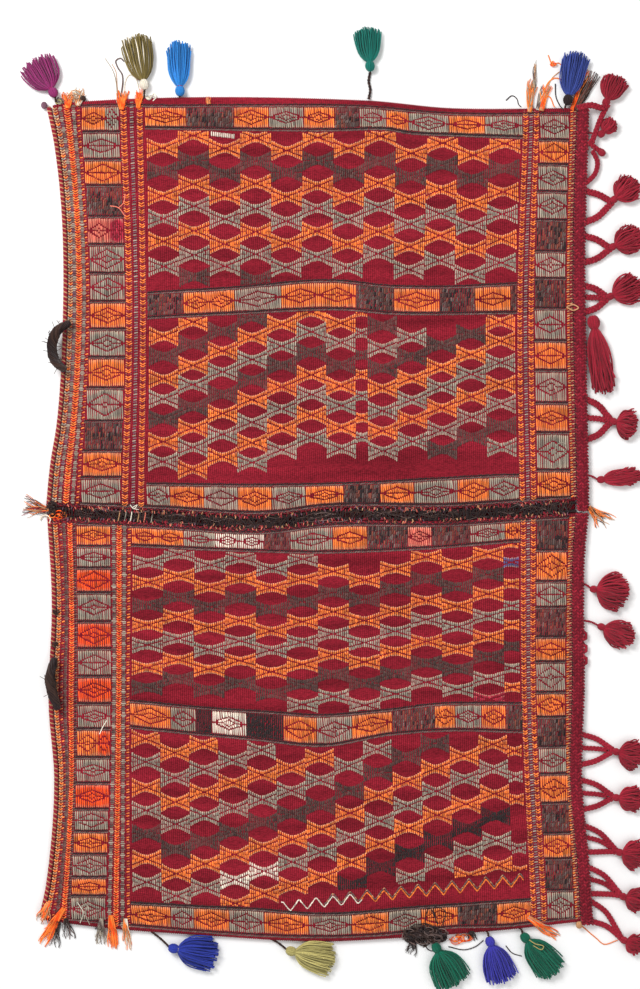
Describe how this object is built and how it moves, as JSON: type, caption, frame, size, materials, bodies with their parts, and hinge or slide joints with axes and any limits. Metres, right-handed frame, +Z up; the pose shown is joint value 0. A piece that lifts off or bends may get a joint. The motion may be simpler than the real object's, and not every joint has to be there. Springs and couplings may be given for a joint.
{
  "type": "kilim saddle bag",
  "caption": "Double saddle bag of woven wool, laid flat: one strip folded up at both ends into two pouches that open towards each other, with tassels along its edges.",
  "frame": {"origin": "on the underside of the cloth at the middle of the bag, under the strip between the two mouths", "axes": "+X across the strip towards the side with the red plaits, +Y along the strip towards the upper pouch, +Z up out of the patterned faces"},
  "size_m": [0.7906, 1.2117, 0.0254],
  "materials": {
    "cloth": "matte woven wool",
    "black_hair": "spun goat hair",
    "side_cord": "overcast wool, striped",
    "red_wool": "plaited wool",
    "magenta_wool": "wool yarn",
    "olive_wool": "wool yarn",
    "sky_wool": "wool yarn",
    "green_wool": "wool yarn",
    "navy_wool": "wool yarn",
    "blue_wool": "wool yarn",
    "khaki_wool": "wool yarn",
    "violet_wool": "wool yarn",
    "orange_wool": "wool yarn",
    "dark_hair": "loose goat hair"
  },
  "bodies": {
    "root": {"bag_cloth": "cloth", "upper_mouth_binding": "black_hair", "lower_mouth_binding": "black_hair", "left_upper_side_cord": "side_cord", "left_lower_side_cord": "side_cord", "right_upper_side_braid": "red_wool", "right_lower_side_braid": "red_wool", "magenta_tassel": "magenta_wool", "olive_tassel": "olive_wool", "sky_blue_tassel": "sky_wool", "top_green_tassel": "green_wool", "navy_tassel": "navy_wool", "blue_tassel": "blue_wool", "khaki_tassel": "khaki_wool", "left_green_tassel": "green_wool", "violet_tassel": "violet_wool", "right_green_tassel": "green_wool", "green_tassel_string": "black_hair", "red_tassel_1": "red_wool", "red_tassel_2": "red_wool", "red_tassel_2_loop": "red_wool", "red_tassel_3": "red_wool", "red_tassel_3_loop": "red_wool", "red_tassel_4": "red_wool", "red_tassel_4_loop": "red_wool", "red_tassel_5": "red_wool", "red_tassel_5_loop": "red_wool", "red_tassel_6": "red_wool", "red_tassel_7": "red_wool", "red_tassel_8": "red_wool", "red_tassel_9": "red_wool", "red_tassel_9_loop": "red_wool", "red_tassel_10": "red_wool", "red_tassel_10_loop": "red_wool", "red_tassel_11": "red_wool", "red_tassel_11_loop": "red_wool", "red_tassel_12": "red_wool", "red_tassel_12_loop": "red_wool", "red_tassel_13": "red_wool", "red_tassel_13_loop": "red_wool", "red_fringe": "red_wool", "red_corner_tassel": "red_wool", "right_corner_tuft": "orange_wool", "dark_hank_upper": "dark_hair", "dark_hank_lower": "dark_hair", "top_left_ends": "orange_wool", "top_middle_ends": "orange_wool", "top_right_ends": "orange_wool", "bottom_left_ends": "orange_wool", "bottom_hair_tuft": "dark_hair", "left_corner_ends": "orange_wool"}
  },
  "joints": []
}
